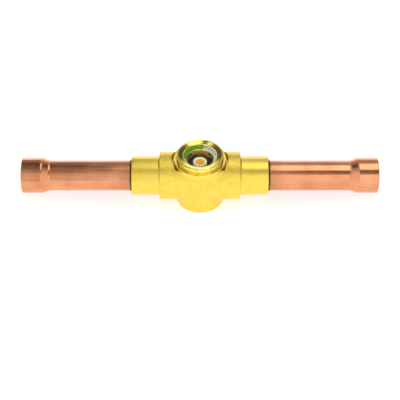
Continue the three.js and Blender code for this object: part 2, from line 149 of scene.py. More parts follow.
def mesh_object(name, points, faces, sharp_degrees=35):
    """A smooth-shaded mesh object from points in millimetres, with its faces pointing out."""
    mesh = bpy.data.meshes.new(name)
    mesh.from_pydata((np.asarray(points, float) * MM).tolist(), [], faces)
    shell = bmesh.new()
    shell.from_mesh(mesh)
    bmesh.ops.recalc_face_normals(shell, faces=shell.faces)
    shell.to_mesh(mesh)
    shell.free()
    mesh.polygons.foreach_set("use_smooth", [True] * len(mesh.polygons))
    mesh.set_sharp_from_angle(angle=math.radians(sharp_degrees))
    made = bpy.data.objects.new(name, mesh)
    bpy.context.scene.collection.objects.link(made)
    return made


def filleted(corners, steps=5, closed=True):
    """A profile with round corners. Each corner is (radius, height) or (radius, height, fillet)."""
    count = len(corners)
    support = 0.03
    result = []
    for i, corner in enumerate(corners):
        here = Vector(corner[:2])
        fillet = corner[2] if len(corner) > 2 else 0
        if fillet <= 0 or (not closed and i in (0, count - 1)):
            result.append(tuple(here))
            continue
        back = Vector(corners[i - 1][:2]) - here
        ahead = Vector(corners[(i + 1) % count][:2]) - here
        half = back.angle(ahead) / 2
        reach = min(fillet / math.tan(half), back.length * 0.48, ahead.length * 0.48)
        fillet = reach * math.tan(half)
        back.normalize()
        ahead.normalize()
        centre = here + (back + ahead).normalized() * (fillet / math.sin(half))
        start = here + back * reach
        end = here + ahead * reach
        result.append(tuple(start + back * min(support, reach * 0.2)))
        first = start - centre
        last = end - centre
        turn = math.atan2(first.x * last.y - first.y * last.x, first.dot(last))
        for step in range(steps + 1):
            angle = turn * step / steps
            cosine, sine = math.cos(angle), math.sin(angle)
            spoke = Vector((first.x * cosine - first.y * sine, first.x * sine + first.y * cosine))
            result.append(tuple(centre + spoke))
        result.append(tuple(end + ahead * min(support, reach * 0.2)))
    return result


def ring_faces(rows, columns, wrap_rows, wrap_columns):
    """Quads of a grid of points, row after row."""
    faces = []
    for i in range(rows if wrap_rows else rows - 1):
        for j in range(columns if wrap_columns else columns - 1):
            below = i * columns
            above = (i + 1) % rows * columns
            right = (j + 1) % columns
            faces.append((below + j, below + right, above + right, above + j))
    return faces


def place_on_axis(radius, angle, height, axis, offset):
    """Points at a radius and an angle about a Z or X axis through offset."""
    across = radius * np.cos(angle)
    along = radius * np.sin(angle)
    if axis == "Z":
        points = np.stack([across, along, height], -1)
    else:
        points = np.stack([height, across, along], -1)
    return points + np.asarray(offset, float)


def turned(name, profile, axis="Z", offset=(0, 0, 0), steps=ROUND_STEPS, closed=True, warp=None):
    """A solid of revolution. An open profile starts and ends on the axis."""
    profile = np.array(profile, float)
    rows = profile if closed else profile[1:-1]
    angle = np.arange(steps) * 2 * math.pi / steps
    radius = np.repeat(rows[:, :1], steps, 1)
    height = np.repeat(rows[:, 1:], steps, 1)
    angle = np.broadcast_to(angle, radius.shape)
    if warp:
        radius, height = warp(radius, angle, height)
    points = place_on_axis(radius, angle, height, axis, offset).reshape(-1, 3)
    faces = ring_faces(len(rows), steps, closed, True)
    if not closed:
        ends = place_on_axis(np.zeros(2), np.zeros(2), profile[[0, -1], 1], axis, offset)
        points = np.concatenate([points, ends])
        first, last = len(points) - 2, len(points) - 1
        top = (len(rows) - 1) * steps
        for j in range(steps):
            k = (j + 1) % steps
            faces.append((first, j, k))
            faces.append((last, top + k, top + j))
    return mesh_object(name, points, faces)


def carried_round(name, section, start, turns, steps=ROUND_STEPS):
    """A closed section of (radius, height) points carried about Z through a part of a turn."""
    section = np.array(section, float)
    size = len(section)
    count = max(2, round(turns * steps)) + 1
    angle = 2 * math.pi * (start + np.linspace(0, turns, count))
    angle = np.repeat(angle[:, None], size, 1)
    radius = np.tile(section[:, 0], (count, 1))
    height = np.tile(section[:, 1], (count, 1))
    points = place_on_axis(radius, angle, height, "Z", (0, 0, 0)).reshape(-1, 3)
    faces = ring_faces(count, size, False, True)
    faces.append(tuple(range(size)))
    faces.append(tuple(range((count - 1) * size, count * size)))
    return mesh_object(name, points, faces)


def joined(name, pieces):
    """One object from several."""
    bpy.ops.object.select_all(action="DESELECT")
    for piece in pieces:
        piece.select_set(True)
    bpy.context.view_layer.objects.active = pieces[0]
    bpy.ops.object.join()
    pieces[0].name = name
    pieces[0].data.name = name
    return pieces[0]


# ---- Forged body ----------------------------------------------------------------------------
# The forging is the zero surface of a distance field, so that its blends and rounded edges are
# real shape. Distances are negative inside the metal.


def disc_field(radius, from_axis, low, high, along, edge):
    """Distance to a round bar between two planes, with rounded edges."""
    side = from_axis - (radius - edge)
    end = np.maximum(low + edge - along, along - (high - edge))
    outside = np.hypot(np.maximum(side, 0), np.maximum(end, 0))
    return outside + np.minimum(np.maximum(side, end), 0) - edge


def blended(a, b, reach):
    """The union of two fields, filled in over a reach where they meet."""
    share = np.maximum(reach - np.abs(a - b), 0) / np.maximum(reach, 1e-6)
    return np.minimum(a, b) - share * share * reach / 4


def body_field(p):
    """Distance to the body's surface: block, hubs and barrel, less what is bored out of them."""
    x, y, z = p[..., 0], p[..., 1], p[..., 2]
    from_flow = np.hypot(y, z - AXIS_Z)
    from_window = np.hypot(x, y)
    block = disc_field(BLOCK_RADIUS, from_flow, -BLOCK_HALF_LENGTH, BLOCK_HALF_LENGTH, x, FORGED_EDGE)
    hubs = disc_field(HUB_RADIUS, from_flow, -HUB_END, HUB_END, x, HUB_EDGE)
    barrel = disc_field(BARREL_RADIUS, from_window, 0, SEAT_Z + 3, z, BARREL_EDGE)
    facing = y * y / np.maximum(from_flow * from_window, 1e-6)
    metal = blended(block, barrel, BARREL_BLEND * np.clip(1 - facing, 0, 1))
    metal = blended(metal, hubs, HUB_BLEND)
    metal = metal + forging_waves(x, y, z) * np.clip(FORGED_END - np.abs(x), 0, 1)
    # The cuts reach a little past the metal or into one another, so that they open up.
    spotface = disc_field(SPOTFACE_RADIUS, from_window, SEAT_Z, SEAT_Z + 9, z, 0.15)
    sockets = disc_field(SOCKET_RADIUS, from_flow, TUBE_STOP, HUB_END + 5, np.abs(x), MACHINED_EDGE)
    port = disc_field(PORT_RADIUS, from_flow, 0, TUBE_STOP + 1, np.abs(x), MACHINED_EDGE)
    chamber = disc_field(CHAMBER_RADIUS, from_window, CHAMBER_FLOOR, SEAT_Z + 2, z, 0.6)
    well = disc_field(THREAD_CREST + 0.45, from_window, THREAD_WELL, SEAT_Z - 0.3, z, GAP)
    mouth = disc_field(THREAD_CREST + 0.2, from_window, SEAT_Z - 1, SEAT_Z + 2, z, GAP)
    pilot = disc_field(PILOT_RADIUS, from_window, POST_LOW.z - 0.2, CHAMBER_FLOOR + 1, z, GAP)
    hollow = np.minimum.reduce([spotface, sockets, port, chamber, well, mouth, pilot])
    return -blended(-metal, hollow, BORE_BLEND)


def forging_waves(x, y, z):
    """The slight unevenness of a forged and tumbled surface."""
    wave = np.sin(0.9 * x + 1.3 * y + 0.4) * np.sin(1.1 * z - 0.6 * x)
    ripple = np.sin(2.3 * x - 1.7 * z + 1.1) * np.sin(1.9 * y + 2.1 * z)
    return 0.018 * wave + 0.01 * ripple


def field_normals(p, reach=0.02):
    """Unit gradient of the body field at some points, and the gradient's length."""
    slope = np.empty_like(p)
    for axis in range(3):
        step = np.zeros(3)
        step[axis] = reach
        slope[:, axis] = (body_field(p + step) - body_field(p - step)) / (2 * reach)
    length = np.maximum(np.linalg.norm(slope, axis=1, keepdims=True), 1e-6)
    return slope / length, length[:, 0]


def surface_net(low, high, cell):
    """Points and quads of the field's zero surface on a grid of cubes.

    Each cube that the surface crosses gets a point, the mean of the crossings of its edges, and
    each grid edge that it crosses gets a quad between the four cubes around it.
    """
    axes = [np.arange(low[i], high[i] + cell, cell) for i in range(3)]
    grid = np.stack(np.meshgrid(*axes, indexing="ij"), -1)
    value = body_field(grid)
    inside = value < 0
    shape = np.array(value.shape) - 1
    total = np.zeros((*shape, 3))
    count = np.zeros(shape)
    corner = [slice(0, -1), slice(1, None)]
    for axis in range(3):
        others = [i for i in range(3) if i != axis]
        for bits in range(4):
            pick_a, pick_b = [None] * 3, [None] * 3
            pick_a[axis], pick_b[axis] = corner[0], corner[1]
            for k, other in enumerate(others):
                pick_a[other] = pick_b[other] = corner[bits >> k & 1]
            a, b = value[tuple(pick_a)], value[tuple(pick_b)]
            crosses = (a < 0) != (b < 0)
            share = np.where(crosses, a / np.where(crosses, a - b, 1), 0)
            start, end = grid[tuple(pick_a)], grid[tuple(pick_b)]
            place = start + share[..., None] * (end - start)
            total += np.where(crosses[..., None], place, 0)
            count += crosses
    used = count > 0
    index = np.full(shape, -1)
    index[used] = np.arange(used.sum())
    points = total[used] / count[used][:, None]
    faces = []
    for axis in range(3):
        u, v = (axis + 1) % 3, (axis + 2) % 3
        pick_a, pick_b = [slice(1, -1)] * 3, [slice(1, -1)] * 3
        pick_a[axis], pick_b[axis] = slice(0, -1), slice(1, None)
        a, b = inside[tuple(pick_a)], inside[tuple(pick_b)]
        where = np.argwhere(a != b)
        flip = a[tuple(where.T)]
        where[:, u] += 1
        where[:, v] += 1
        quad = []
        for du, dv in ((0, 0), (1, 0), (1, 1), (0, 1)):
            cell_at = where.copy()
            cell_at[:, u] -= du
            cell_at[:, v] -= dv
            quad.append(index[tuple(cell_at.T)])
        quad = np.stack(quad, -1)
        quad[~flip] = quad[~flip][:, ::-1]
        faces.append(quad)
    return points, np.concatenate(faces)


def forged_body():
    """The body's mesh, drawn onto the field's surface, and its exact normals."""
    cell = 0.28
    margin = 2 * cell
    low = np.array(BODY_LOW) - margin
    high = np.array(BODY_HIGH) + margin
    points, faces = surface_net(low, high, cell)
    for _ in range(4):
        normal, slope = field_normals(points)
        move = np.clip(body_field(points) / slope, -cell, cell)
        points = points - normal * move[:, None]
    points = np.clip(points, np.array(BODY_LOW), np.array(BODY_HIGH))
    body = mesh_object("forged_body", points, faces.tolist(), 180)
    normal, _ = field_normals(points, 0.04)
    return body, normal


# ---- Threads --------------------------------------------------------------------------------


def thread_share(angle, height, first_height):
    """0 at the thread's root and 1 at its crest, at an angle and a height."""
    root_half, crest_half = 0.375, 0.0625
    across = (height - first_height) / THREAD_PITCH - angle / (2 * math.pi)
    across = np.abs(across - np.round(across))
    return np.clip((root_half - across) / (root_half - crest_half), 0, 1)


def body_thread():
    """The female thread inside the body's mouth, as a threaded sleeve of the same metal."""
    low, high = THREAD_WELL - GAP, SEAT_Z - 0.25
    heights = np.linspace(low, high, 74)
    outer = THREAD_CREST + 0.6
    wider = 1.25
    profile = [(outer, low)] + [(THREAD_ROOT, height) for height in heights] + [(outer, high)]

    def cut_thread(radius, angle, height):
        share = thread_share(angle, height, THREAD_FIRST)
        grown = np.clip(share * wider, 0, 1)
        cut = THREAD_ROOT + THREAD_PLAY + (THREAD_CREST - THREAD_ROOT) * grown
        return np.where(radius < outer - 0.1, cut, radius), height

    return turned("body_thread", profile, warp=cut_thread)


# ---- Copper tubes ---------------------------------------------------------------------------


def connecting_tube(name, side):
    """A copper tube with a swaged bell at its far end, towards +X or -X."""
    start, end = TUBE_LOW.x, TUBE_HIGH.x
    bell_start = end - BELL_LENGTH
    neck = bell_start - BELL_NECK
    bore = TUBE_RADIUS - TUBE_WALL
    bell_bore = BELL_RADIUS - TUBE_WALL
    stretches = 12
    corners = [(bore, start, 0.15), (TUBE_RADIUS, start, 0.15)]
    corners += [(TUBE_RADIUS, start + i * (neck - start) / stretches) for i in range(1, stretches)]
    corners += [
        (TUBE_RADIUS, neck, 3.0),
        (BELL_RADIUS, bell_start, 2.2),
        (BELL_RADIUS, end - 2.0),
        (BELL_RADIUS, end, 0.3),
        (bell_bore, end, 0.3),
        (bell_bore, bell_start, 1.5),
        (bore, neck, 2.0),
    ]
    profile = [(radius, side * x) for radius, x in filleted(corners, steps=8)]
    return turned(name, profile, axis="X", offset=(0, 0, AXIS_Z))


def braze_fillet(name, side):
    """The concave fillet of braze between tube and hub, with a slightly wavy edge."""
    inner = TUBE_RADIUS + FINE_GAP
    face = FILLET_LOW.x
    leg = FILLET_HIGH.x - FILLET_LOW.x
    curve = leg - 0.06
    steps = 8
    hollow = []
    for step in range(steps + 1):
        angle = math.radians(180 + 90 * step / steps)
        hollow.append((inner + leg + curve * math.cos(angle), face + leg + curve * math.sin(angle)))
    profile = [(inner, face), (inner, face + leg), *hollow, (inner + leg, face)]

    def puddled(radius, angle, along):
        rise = (radius - inner) / leg
        wobble = 0.06 * np.sin(5 * angle + 1.0) + 0.04 * np.sin(11 * angle)
        radius = radius - rise * np.abs(wobble)
        along = along - np.clip((along - face) / leg, 0, 1) * np.abs(wobble)
        return radius, side * along

    return turned(name, profile, axis="X", offset=(0, 0, AXIS_Z), warp=puddled)


# ---- Window ---------------------------------------------------------------------------------


def crowned_rim():
    """The rim's section: a round outer shoulder, then a straight fall to the lip."""
    round_steps, fall_steps = 10, 8
    lip = LIP_RADIUS + 0.1
    points = []
    for step in range(round_steps + 1):
        angle = math.pi / 2 * step / round_steps
        radius = CROWN_RADIUS + RIM_ROUNDING * math.cos(angle)
        points.append((radius, RIM_TOP - RIM_ROUNDING + RIM_ROUNDING * math.sin(angle)))
    for step in range(1, fall_steps + 1):
        share = step / fall_steps
        radius = CROWN_RADIUS + (lip - CROWN_RADIUS) * share
        points.append((radius, RIM_TOP + (LIP_TOP - RIM_TOP) * share))
    return points


def window_ring():
    """The holder: threaded neck, flange, collar, rim, label cone and stepped bore."""
    flange_low = SEAL_HIGH.z + GAP
    foot = HOLDER_LOW.z
    shoulder = GASKET_HIGH.z + FINE_GAP
    groove = CIRCLIP_HIGH.x + GAP
    groove_low, groove_high = CIRCLIP_LOW.z - GAP, CIRCLIP_HIGH.z + GAP
    corners = [(SLEEVE_BORE, foot, 0.1), (THREAD_ROOT - 0.25, foot, 0.05)]
    corners += [(THREAD_ROOT, height) for height in np.linspace(foot + 0.3, flange_low - 0.02, 64)]
    corners += [
        (THREAD_ROOT, flange_low),
        (HOLDER_HIGH.x, flange_low, 0.12),
        (HOLDER_HIGH.x, FLANGE_TOP, 0.16),
        (COLLAR_RADIUS, FLANGE_TOP, 0.12),
        *crowned_rim(),
        (LIP_RADIUS, CONE_TOP, 0.03),
        (CONE_FOOT_RADIUS, CONE_FOOT, 0.05),
        (CONE_FOOT_RADIUS, shoulder, 0.05),
        (SLEEVE_BORE, shoulder),
        (SLEEVE_BORE, groove_high),
        (groove, groove_high),
        (groove, groove_low),
        (SLEEVE_BORE, groove_low),
    ]
    low, high = THREAD_FIRST - 0.2, THREAD_FIRST + THREAD_TURNS
    run_out = 0.5

    def cut_thread(radius, angle, height):
        on_neck = np.abs(radius - THREAD_ROOT) < 0.01
        fade = np.clip((height - low) / run_out, 0, 1) * np.clip((high - height) / run_out, 0, 1)
        share = thread_share(angle, height, THREAD_FIRST) * fade
        return np.where(on_neck, THREAD_ROOT + (THREAD_CREST - THREAD_ROOT) * share, radius), height

    return turned("window_ring", filleted(corners, steps=6), warp=cut_thread)


def box_section(inner, outer, bottom, top, edge):
    """The corners of a rectangular section with rounded edges."""
    return [(inner, bottom, edge), (outer, bottom, edge), (outer, top, edge), (inner, top, edge)]


def flat_ring(name, inner, outer, bottom, top, edge):
    return turned(name, filleted(box_section(inner, outer, bottom, top, edge), steps=4))


def glass_sleeve():
    flange_top = GASKET_LOW.z - FINE_GAP
    corners = [
        (SLEEVE_INNER_RADIUS, SLEEVE_LOW.z, 0.1),
        (SLEEVE_HIGH.x, SLEEVE_LOW.z, 0.15),
        (SLEEVE_HIGH.x, flange_top, 0.1),
        (SPIGOT_RADIUS, flange_top, 0.05),
        (SPIGOT_RADIUS, SLEEVE_HIGH.z, 0.1),
        (SLEEVE_INNER_RADIUS, SLEEVE_HIGH.z, 0.06),
    ]
    return turned("fused_glass_sleeve", filleted(corners, steps=5))


def glass_disc():
    bottom, top, rim = GLASS_LOW.z, GLASS_HIGH.z, GLASS_HIGH.x
    corners = [(0, bottom), (rim, bottom, 0.08), (rim, top, 0.12), (0, top)]
    return turned("glass_disc", filleted(corners, steps=5, closed=False), closed=False)


def circlip():
    section = box_section(CIRCLIP_INNER_RADIUS, CIRCLIP_HIGH.x, CIRCLIP_LOW.z, CIRCLIP_HIGH.z, 0.08)
    return carried_round("split_ring", filleted(section, steps=3), start=0.3, turns=0.9)


def label_cone():
    """Foot and brow of the holder's label cone, and the unit vectors up its slope and off it."""
    foot = Vector((CONE_FOOT_RADIUS, CONE_FOOT))
    brow = Vector((LIP_RADIUS, CONE_TOP))
    slope = (brow - foot).normalized()
    return foot, brow, slope, Vector((-slope.y, slope.x))


def cone_band(lift, thickness, foot_inset, brow_inset, edge=0.02):
    """The section of a band lying on the holder's label cone."""
    foot, brow, slope, out = label_cone()
    low = foot + slope * foot_inset
    high = brow - slope * brow_inset
    corners = [low + out * lift, high + out * lift]
    corners += [high + out * (lift + thickness), low + out * (lift + thickness)]
    return filleted([(*corner, edge) for corner in corners], steps=3)


def label_sector(name, sector):
    section = cone_band(lift=0.22, thickness=0.06, foot_inset=0.42, brow_inset=0.2)
    first, last = sector
    return carried_round(name, section, first / 360, (last - first) / 360)


def label_marks():
    """Plain printed dashes on the white part of the label: two rows of short strokes."""
    foot, brow, slope, out = label_cone()
    length = (brow - foot).length
    half = slope * 0.2
    rise = out * 0.03
    rows = (
        (0.45, (70, 61, 50, 38, 27, 12), 6.0),
        (0.72, (69, 59, 48, 36, 24, 10), 8.5),
    )
    pieces = []
    for share, starts, arc in rows:
        middle = foot + slope * (length * share) + out * 0.19
        low, high = middle - half, middle + half
        section = [tuple(corner) for corner in (low, high, high + rise, low + rise)]
        for start in starts:
            name = f"mark_{len(pieces)}"
            pieces.append(carried_round(name, section, start / 360, arc / 360, steps=360))
    return joined("label_marks", pieces)


# ---- Moisture indicator ---------------------------------------------------------------------


def indicator_post():
    """A turned post: a foot in the body's pilot hole, a wide seat and a slim spindle."""
    foot_radius = 1.5
    seat_low, seat_high = CHAMBER_FLOOR + GAP, WASHER_LOW.z - 0.02
    corners = [
        (0, POST_LOW.z),
        (foot_radius, POST_LOW.z, 0.15),
        (foot_radius, seat_low),
        (POST_HIGH.x, seat_low, 0.1),
        (POST_HIGH.x, seat_high, 0.2),
        (POST_RADIUS, seat_high, 0.15),
        (POST_RADIUS, POST_HIGH.z, 0.2),
        (0, POST_HIGH.z),
    ]
    return turned("turned_post", filleted(corners, closed=False), closed=False, steps=72)


def indicator_spring():
    """Round wire in even turns about the post."""
    wire = 0.2
    turns = 7.0
    middle = SPRING_HIGH.x - wire
    low, high = SPRING_LOW.z + wire, SPRING_HIGH.z - wire
    count, sides = 260, 12
    along = np.linspace(0, 1, count)
    rise = low + (high - low) * along
    angle = 2 * math.pi * turns * along
    turn_z = (high - low) / (2 * math.pi * turns)
    tilt = math.atan2(turn_z, middle)
    around = np.arange(sides) * 2 * math.pi / sides
    out = wire * np.cos(around)
    up = wire * np.sin(around)
    radius = middle + out[None, :]
    lean = (up * math.sin(tilt))[None, :]
    cosine, sine = np.cos(angle)[:, None], np.sin(angle)[:, None]
    x = radius * cosine + lean * sine
    y = radius * sine - lean * cosine
    z = rise[:, None] + (up * math.cos(tilt))[None, :]
    points = np.stack([x, y, z], -1).reshape(-1, 3)
    faces = ring_faces(count, sides, False, True)
    faces.append(tuple(reversed(range(sides))))
    faces.append(tuple(range((count - 1) * sides, count * sides)))
    return mesh_object("coil_spring", points, faces, 50)


def indicator_cup():
    """The moulded cup: a socket for the post below, a shallow recess for the paper on top."""
    recess = PAPER_LOW.z - FINE_GAP
    socket_top = CUP_LOW.z + CUP_SOCKET_DEPTH
    socket_radius = POST_RADIUS + GAP
    corners = [
        (0, socket_top),
        (socket_radius, socket_top),
        (socket_radius, CUP_LOW.z, 0.1),
        (CUP_HIGH.x, CUP_LOW.z, 0.25),
        (CUP_HIGH.x, CUP_HIGH.z, 0.22),
        (CUP_RECESS_RADIUS, CUP_HIGH.z, 0.05),
        (CUP_RECESS_RADIUS, recess),
        (0, recess),
    ]
    profile = filleted(corners, closed=False)
    return turned("indicator_holder", profile, closed=False, steps=SMALL_STEPS)


def indicator_paper():
    """The paper disc, with a slightly crinkled top."""
    low, high = PAPER_LOW.z, PAPER_HIGH.z
    middle_radius = 1.2
    corners = [
        (0, low),
        (PAPER_HIGH.x, low, 0.05),
        (PAPER_HIGH.x, high, 0.05),
        (middle_radius, high),
        (0, high),
    ]

    def crinkled(radius, angle, height):
        wave = 0.02 * np.sin(3 * angle + 2.2 * radius) * np.clip(radius, 0, 1)
        return radius, height - np.where(height > (low + high) / 2, np.abs(wave), 0)

    profile = filleted(corners, closed=False)
    return turned("indicator_disc", profile, closed=False, steps=SMALL_STEPS, warp=crinkled)


def paper_retainer():
    """The snap ring over the paper's edge, with a bevelled inside."""
    bevel_width, bevel_depth = 0.2, 0.3
    corners = [
        (RETAINER_INNER_RADIUS, RETAINER_LOW.z, 0.03),
        (RETAINER_HIGH.x, RETAINER_LOW.z, 0.05),
        (RETAINER_HIGH.x, RETAINER_HIGH.z, 0.08),
        (RETAINER_INNER_RADIUS + bevel_width, RETAINER_HIGH.z, 0.1),
        (RETAINER_INNER_RADIUS, RETAINER_HIGH.z - bevel_depth, 0.1),
    ]
    return turned("retaining_ring", filleted(corners), steps=SMALL_STEPS)


# ---- Materials ------------------------------------------------------------------------------

# Where nearly all values of a noise lie.
NOISE_RANGE = (0.3, 0.7)
# The colour sockets of Blender's Mix node, which share their names with its other sockets.
MIX_A, MIX_B = 6, 7
MIX_RESULT = 2


class Paint:
    """A node material built step by step around one Principled shader."""

    def __init__(self, name, colour, metallic=0.0, roughness=0.5):
        self.material = bpy.data.materials.new(name)
        self.material.use_nodes = True
        self.tree = self.material.node_tree
        self.shader = self.tree.nodes["Principled BSDF"]
        self.shader.inputs["Base Color"].default_value = (*colour, 1)
        self.shader.inputs["Metallic"].default_value = metallic
        self.shader.inputs["Roughness"].default_value = roughness
        self.place = self.node("ShaderNodeTexCoord").outputs["Object"]

    def node(self, kind, **settings):
        made = self.tree.nodes.new(kind)
        for key, value in settings.items():
            setattr(made, key, value)
        return made

    def link(self, output, target):
        self.tree.links.new(output, target)

    def millimetres(self, stretch=(1, 1, 1)):
        """Object coordinates in millimetres, each axis multiplied by its stretch."""
        mapping = self.node("ShaderNodeMapping")
        mapping.inputs["Scale"].default_value = [value / MM for value in stretch]
        self.link(self.place, mapping.inputs["Vector"])
        return mapping.outputs["Vector"]

    def noise(self, per_mm, detail=3.0, stretch=(1, 1, 1)):
        made = self.node("ShaderNodeTexNoise")
        made.inputs["Scale"].default_value = per_mm
        made.inputs["Detail"].default_value = detail
        self.link(self.millimetres(stretch), made.inputs["Vector"])
        return made.outputs["Fac"]

    def ramp(self, factor, stops):
        made = self.node("ShaderNodeValToRGB")
        elements = made.color_ramp.elements
        while len(elements) < len(stops):
            elements.new(0.5)
        for element, (position, colour) in zip(elements, stops):
            element.position = position
            element.color = (*colour, 1)
        self.link(factor, made.inputs["Fac"])
        return made.outputs["Color"]

    def tones(self, factor, dark, light):
        """A colour that drifts between two tones with a noise."""
        low, high = NOISE_RANGE
        return self.ramp(factor, [(low, dark), (high, light)])

    def span(self, factor, low, high, from_low=0.0, from_high=1.0):
        made = self.node("ShaderNodeMapRange")
        made.inputs["From Min"].default_value = from_low
        made.inputs["From Max"].default_value = from_high
        made.inputs["To Min"].default_value = low
        made.inputs["To Max"].default_value = high
        self.link(factor, made.inputs["Value"])
        return made.outputs["Result"]

    def maths(self, operation, a, b=None):
        made = self.node("ShaderNodeMath", operation=operation)
        for socket, value in zip(made.inputs, (a, b)):
            if value is None:
                continue
            if isinstance(value, (int, float)):
                socket.default_value = value
            else:
                self.link(value, socket)
        return made.outputs["Value"]

    def mix(self, factor, a, b):
        made = self.node("ShaderNodeMix", data_type="RGBA")
        self.link(factor, made.inputs["Factor"])
        for socket, value in ((made.inputs[MIX_A], a), (made.inputs[MIX_B], b)):
            if isinstance(value, tuple):
                socket.default_value = (*value, 1)
            else:
                self.link(value, socket)
        return made.outputs[MIX_RESULT]

    def times(self, a, b, factor):
        made = self.node("ShaderNodeMix", data_type="RGBA", blend_type="MULTIPLY")
        made.inputs["Factor"].default_value = factor
        self.link(a, made.inputs[MIX_A])
        self.link(b, made.inputs[MIX_B])
        return made.outputs[MIX_RESULT]

    def axis_value(self, axis):
        split = self.node("ShaderNodeSeparateXYZ")
        self.link(self.millimetres(), split.inputs["Vector"])
        return split.outputs[axis]

    def colour(self, output):
        self.link(output, self.shader.inputs["Base Color"])

    def roughness(self, output):
        self.link(output, self.shader.inputs["Roughness"])

    def bump(self, *layers):
        """Each layer is (height output, strength, depth in millimetres)."""
        previous = None
        for height, strength, depth in layers:
            made = self.node("ShaderNodeBump")
            made.inputs["Strength"].default_value = strength
            made.inputs["Distance"].default_value = depth * MM
            self.link(height, made.inputs["Height"])
            if previous:
                self.link(previous, made.inputs["Normal"])
            previous = made.outputs["Normal"]
        self.link(previous, self.shader.inputs["Normal"])

    def radial_distance(self):
        """Distance from the window's axis, in millimetres."""
        x = self.axis_value(0)
        y = self.axis_value(1)
        total = self.maths("ADD", self.maths("MULTIPLY", x, x), self.maths("MULTIPLY", y, y))
        return self.maths("SQRT", total)


def forged_brass():
    paint = Paint("forged_brass", (0.92, 0.65, 0.09), 1.0, 0.4)
    cloud = paint.noise(0.22, 4)
    speckle = paint.noise(2.2, 5)
    tone = paint.tones(cloud, (0.92, 0.67, 0.10), (0.99, 0.75, 0.13))
    dark = paint.ramp(speckle, [(0.34, (0.76, 0.68, 0.5)), (0.52, (1, 1, 1))])
    paint.colour(paint.times(tone, dark, 0.8))
    paint.roughness(paint.span(speckle, 0.27, 0.4, *NOISE_RANGE))
    grain = paint.noise(3.2, 3)
    pits = paint.noise(1.1, 2)
    paint.bump((grain, 0.8, 0.05), (pits, 0.6, 0.08))
    return paint.material


def around_axis(paint, axis, amount):
    """Stretches highlights across the fine grooves that run round an axis."""
    tangent = paint.node("ShaderNodeTangent", direction_type="RADIAL", axis=axis)
    paint.link(tangent.outputs["Tangent"], paint.shader.inputs["Tangent"])
    paint.shader.inputs["Anisotropic"].default_value = amount
    paint.shader.inputs["Anisotropic Rotation"].default_value = 0.25


def turning_lines(paint, distance, per_mm):
    """Fine tool marks across a distance, broken up a little."""
    wave = paint.maths("SINE", paint.maths("MULTIPLY", distance, 2 * math.pi * per_mm))
    return paint.maths("MULTIPLY", wave, paint.noise(0.8, 2))


def hub_brass():
    paint = Paint("turned_hub_brass", (0.93, 0.67, 0.09), 1.0, 0.25)
    cloud = paint.noise(0.3, 3)
    paint.colour(paint.tones(cloud, (0.88, 0.64, 0.09), (0.94, 0.71, 0.12)))
    paint.roughness(paint.span(paint.noise(1.4, 3), 0.2, 0.28, *NOISE_RANGE))
    lines = turning_lines(paint, paint.axis_value(0), 5.0)
    paint.bump((lines, 0.1, 0.004))
    return paint.material


def chamber_brass():
    # Brass darkened to brown as painted shade for the inside of the chamber, well, thread and tube
    # sockets.
    paint = Paint("painted_shade_chamber_brass", (0.2, 0.1, 0.04), 1.0, 0.4)
    cloud = paint.noise(0.6, 4)
    paint.colour(paint.tones(cloud, (0.42, 0.17, 0.03), (0.66, 0.36, 0.10)))
    paint.roughness(paint.span(cloud, 0.35, 0.5))
    lines = turning_lines(paint, paint.axis_value(2), 3.0)
    paint.bump((lines, 0.4, 0.02))
    return paint.material


def ring_brass():
    paint = Paint("bright_turned_brass", (0.95, 0.74, 0.14), 1.0, 0.2)
    cloud = paint.noise(0.35, 3)
    paint.colour(paint.tones(cloud, (0.92, 0.70, 0.12), (0.97, 0.79, 0.19)))
    paint.roughness(paint.span(paint.noise(1.7, 3), 0.1, 0.18, *NOISE_RANGE))
    around_axis(paint, "Z", 0.35)
    face_lines = turning_lines(paint, paint.radial_distance(), 5.5)
    side_lines = turning_lines(paint, paint.axis_value(2), 5.5)
    paint.bump((face_lines, 0.1, 0.004), (side_lines, 0.1, 0.004))
    return paint.material


def plain_brass(name, low, high, rough):
    paint = Paint(name, high, 1.0, rough)
    cloud = paint.noise(0.9, 4)
    paint.colour(paint.tones(cloud, low, high))
    paint.roughness(paint.span(paint.noise(2.5, 3), rough * 0.8, rough * 1.3, *NOISE_RANGE))
    paint.bump((paint.noise(4.0, 3), 0.3, 0.015))
    return paint.material


def drawn_copper():
    paint = Paint("drawn_copper", (0.84, 0.44, 0.22), 1.0, 0.22)
    cloud = paint.noise(0.12, 4)
    streaks = paint.noise(1.0, 4, (0.06, 2.2, 2.2))
    tone = paint.tones(cloud, (0.74, 0.29, 0.14), (0.87, 0.40, 0.21))
    dull = paint.ramp(streaks, [(0.35, (0.86, 0.78, 0.70)), (0.6, (1, 1, 1))])
    tone = paint.times(tone, dull, 0.6)
    from_middle = paint.maths("ABSOLUTE", paint.axis_value(0))
    near_braze = paint.span(from_middle, 1.0, 0.0, HUB_END + 0.5, HUB_END + 6)
    heat = paint.maths("MULTIPLY", near_braze, paint.span(paint.noise(0.5, 3), 0.3, 0.9))
    paint.colour(paint.mix(heat, tone, (0.48, 0.20, 0.10)))
    paint.roughness(paint.span(streaks, 0.1, 0.2, *NOISE_RANGE))
    scratches = paint.noise(1.0, 3, (0.15, 6.0, 6.0))
    dents = paint.noise(0.18, 2)
    paint.bump((scratches, 0.15, 0.008), (dents, 0.15, 0.08))
    return paint.material


def moulded(name, low, high, rough, grain=3.0):
    paint = Paint(name, high, 0.0, rough)
    cloud = paint.noise(1.2, 3)
    paint.colour(paint.tones(cloud, low, high))
    paint.roughness(paint.span(paint.noise(2.0, 3), rough * 0.85, rough * 1.15, *NOISE_RANGE))
    paint.bump((paint.noise(grain, 4), 0.35, 0.02))
    return paint.material


